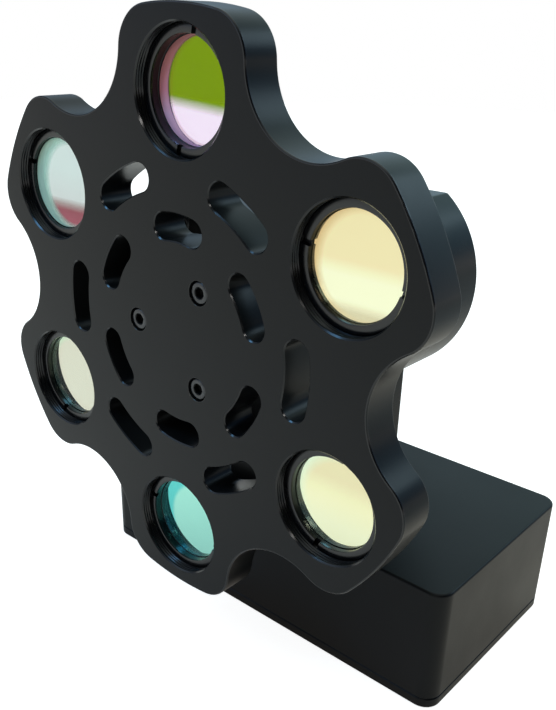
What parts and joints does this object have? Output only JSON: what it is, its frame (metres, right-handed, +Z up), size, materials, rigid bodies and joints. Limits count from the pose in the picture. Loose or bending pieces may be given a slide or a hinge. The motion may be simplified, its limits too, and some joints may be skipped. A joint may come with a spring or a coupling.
{
  "type": "optical filter wheel",
  "caption": "Motorised optical filter wheel: a lobed disc carries round filters on a motor housing and neck over a rectangular controller case.",
  "frame": {"origin": "middle of the object's footprint on the surface it stands on", "axes": "+Z up, -Y towards the front of the wheel (the side that faces the light), +X to the right seen from the front; the wheel turns about an axis along Y, 100 mm up"},
  "size_m": [0.1408, 0.097, 0.174],
  "materials": {
    "wheel_anodised": "bead-blasted and black anodised, satin",
    "housing_anodised": "turned and black anodised, satin",
    "case_anodised": "bead-blasted and black anodised, satin",
    "filter_mount": "black anodised, matte",
    "retaining_ring": "black anodised, satin",
    "filter_glass_1": "coated, transmits yellow-green and reflects pink",
    "filter_glass_2": "coated, pale gold",
    "filter_glass_3": "coated, pale yellow",
    "filter_glass_4": "coated, pale aqua",
    "filter_glass_5": "coated, ivory",
    "filter_glass_6": "coated, pale mint",
    "black_screw": "black oxide",
    "bright_steel": "ground",
    "lamination_steel": "stacked sheet edges",
    "nickel_magnet": "nickel plated",
    "copper_wire": "enamelled copper wire",
    "bearing_brass": "machined",
    "circuit_board": "green solder mask",
    "chip_plastic": "moulded black",
    "capacitor_can": "bright can",
    "header_plastic": "moulded ivory",
    "socket_shell": "nickel plated shell",
    "lead_jacket": "smooth black jacket"
  },
  "bodies": {
    "base": {"front_outer_race": "bright_steel", "rear_outer_race": "bright_steel", "preload_spring": "bright_steel", "front_end_bell": "housing_anodised", "end_bell_screws": "black_screw", "motor_housing": "housing_anodised", "stator_core": "lamination_steel", "stator_coils": "copper_wire", "encoder_board": "circuit_board", "encoder_screws": "bright_steel", "rear_cover": "housing_anodised", "rear_cover_screws": "black_screw", "motor_cable": "lead_jacket", "encoder_cable": "lead_jacket", "controller_case": "case_anodised", "neck_screws": "black_screw", "control_board": "circuit_board", "driver_chips": "chip_plastic", "capacitors": "capacitor_can", "cable_headers": "header_plastic", "power_jack": "chip_plastic", "usb_socket": "socket_shell", "board_standoffs": "bearing_brass", "board_screws": "bright_steel", "bottom_cover": "case_anodised", "cover_screws": "black_screw"},
    "wheel": {"filter_wheel": "wheel_anodised", "filter_mount_1": "filter_mount", "filter_mount_2": "filter_mount", "filter_mount_3": "filter_mount", "filter_mount_4": "filter_mount", "filter_mount_5": "filter_mount", "filter_mount_6": "filter_mount", "filter_glass_1": "filter_glass_1", "filter_glass_2": "filter_glass_2", "filter_glass_3": "filter_glass_3", "filter_glass_4": "filter_glass_4", "filter_glass_5": "filter_glass_5", "filter_glass_6": "filter_glass_6", "retaining_ring_1": "retaining_ring", "retaining_ring_2": "retaining_ring", "retaining_ring_3": "retaining_ring", "retaining_ring_4": "retaining_ring", "retaining_ring_5": "retaining_ring", "retaining_ring_6": "retaining_ring", "wheel_hub": "housing_anodised", "wheel_screws": "black_screw", "hub_set_screws": "black_screw", "motor_shaft": "bright_steel", "rotor_core": "lamination_steel", "rotor_magnets": "nickel_magnet", "encoder_magnet": "nickel_magnet", "front_inner_race": "bright_steel", "rear_inner_race": "bright_steel"},
    "front_cage": {"front_ball_cage": "bearing_brass"},
    "rear_cage": {"rear_ball_cage": "bearing_brass"}
  },
  "joints": [
    {"name": "wheel_spin", "type": "hinge", "parent": "base", "child": "wheel", "pos_m": [0, 0, 0.1], "axis": [0, 1, 0], "continuous": true},
    {"name": "front_cage_spin", "type": "hinge", "parent": "base", "child": "front_cage", "pos_m": [0, -0.018, 0.1], "axis": [0, 1, 0], "continuous": true},
    {"name": "rear_cage_spin", "type": "hinge", "parent": "base", "child": "rear_cage", "pos_m": [0, 0.026, 0.1], "axis": [0, 1, 0], "continuous": true}
  ],
  "couplings": [
    {"joint": "front_cage_spin", "follows": "wheel_spin", "ratio": 0.36667},
    {"joint": "rear_cage_spin", "follows": "wheel_spin", "ratio": 0.36667}
  ]
}
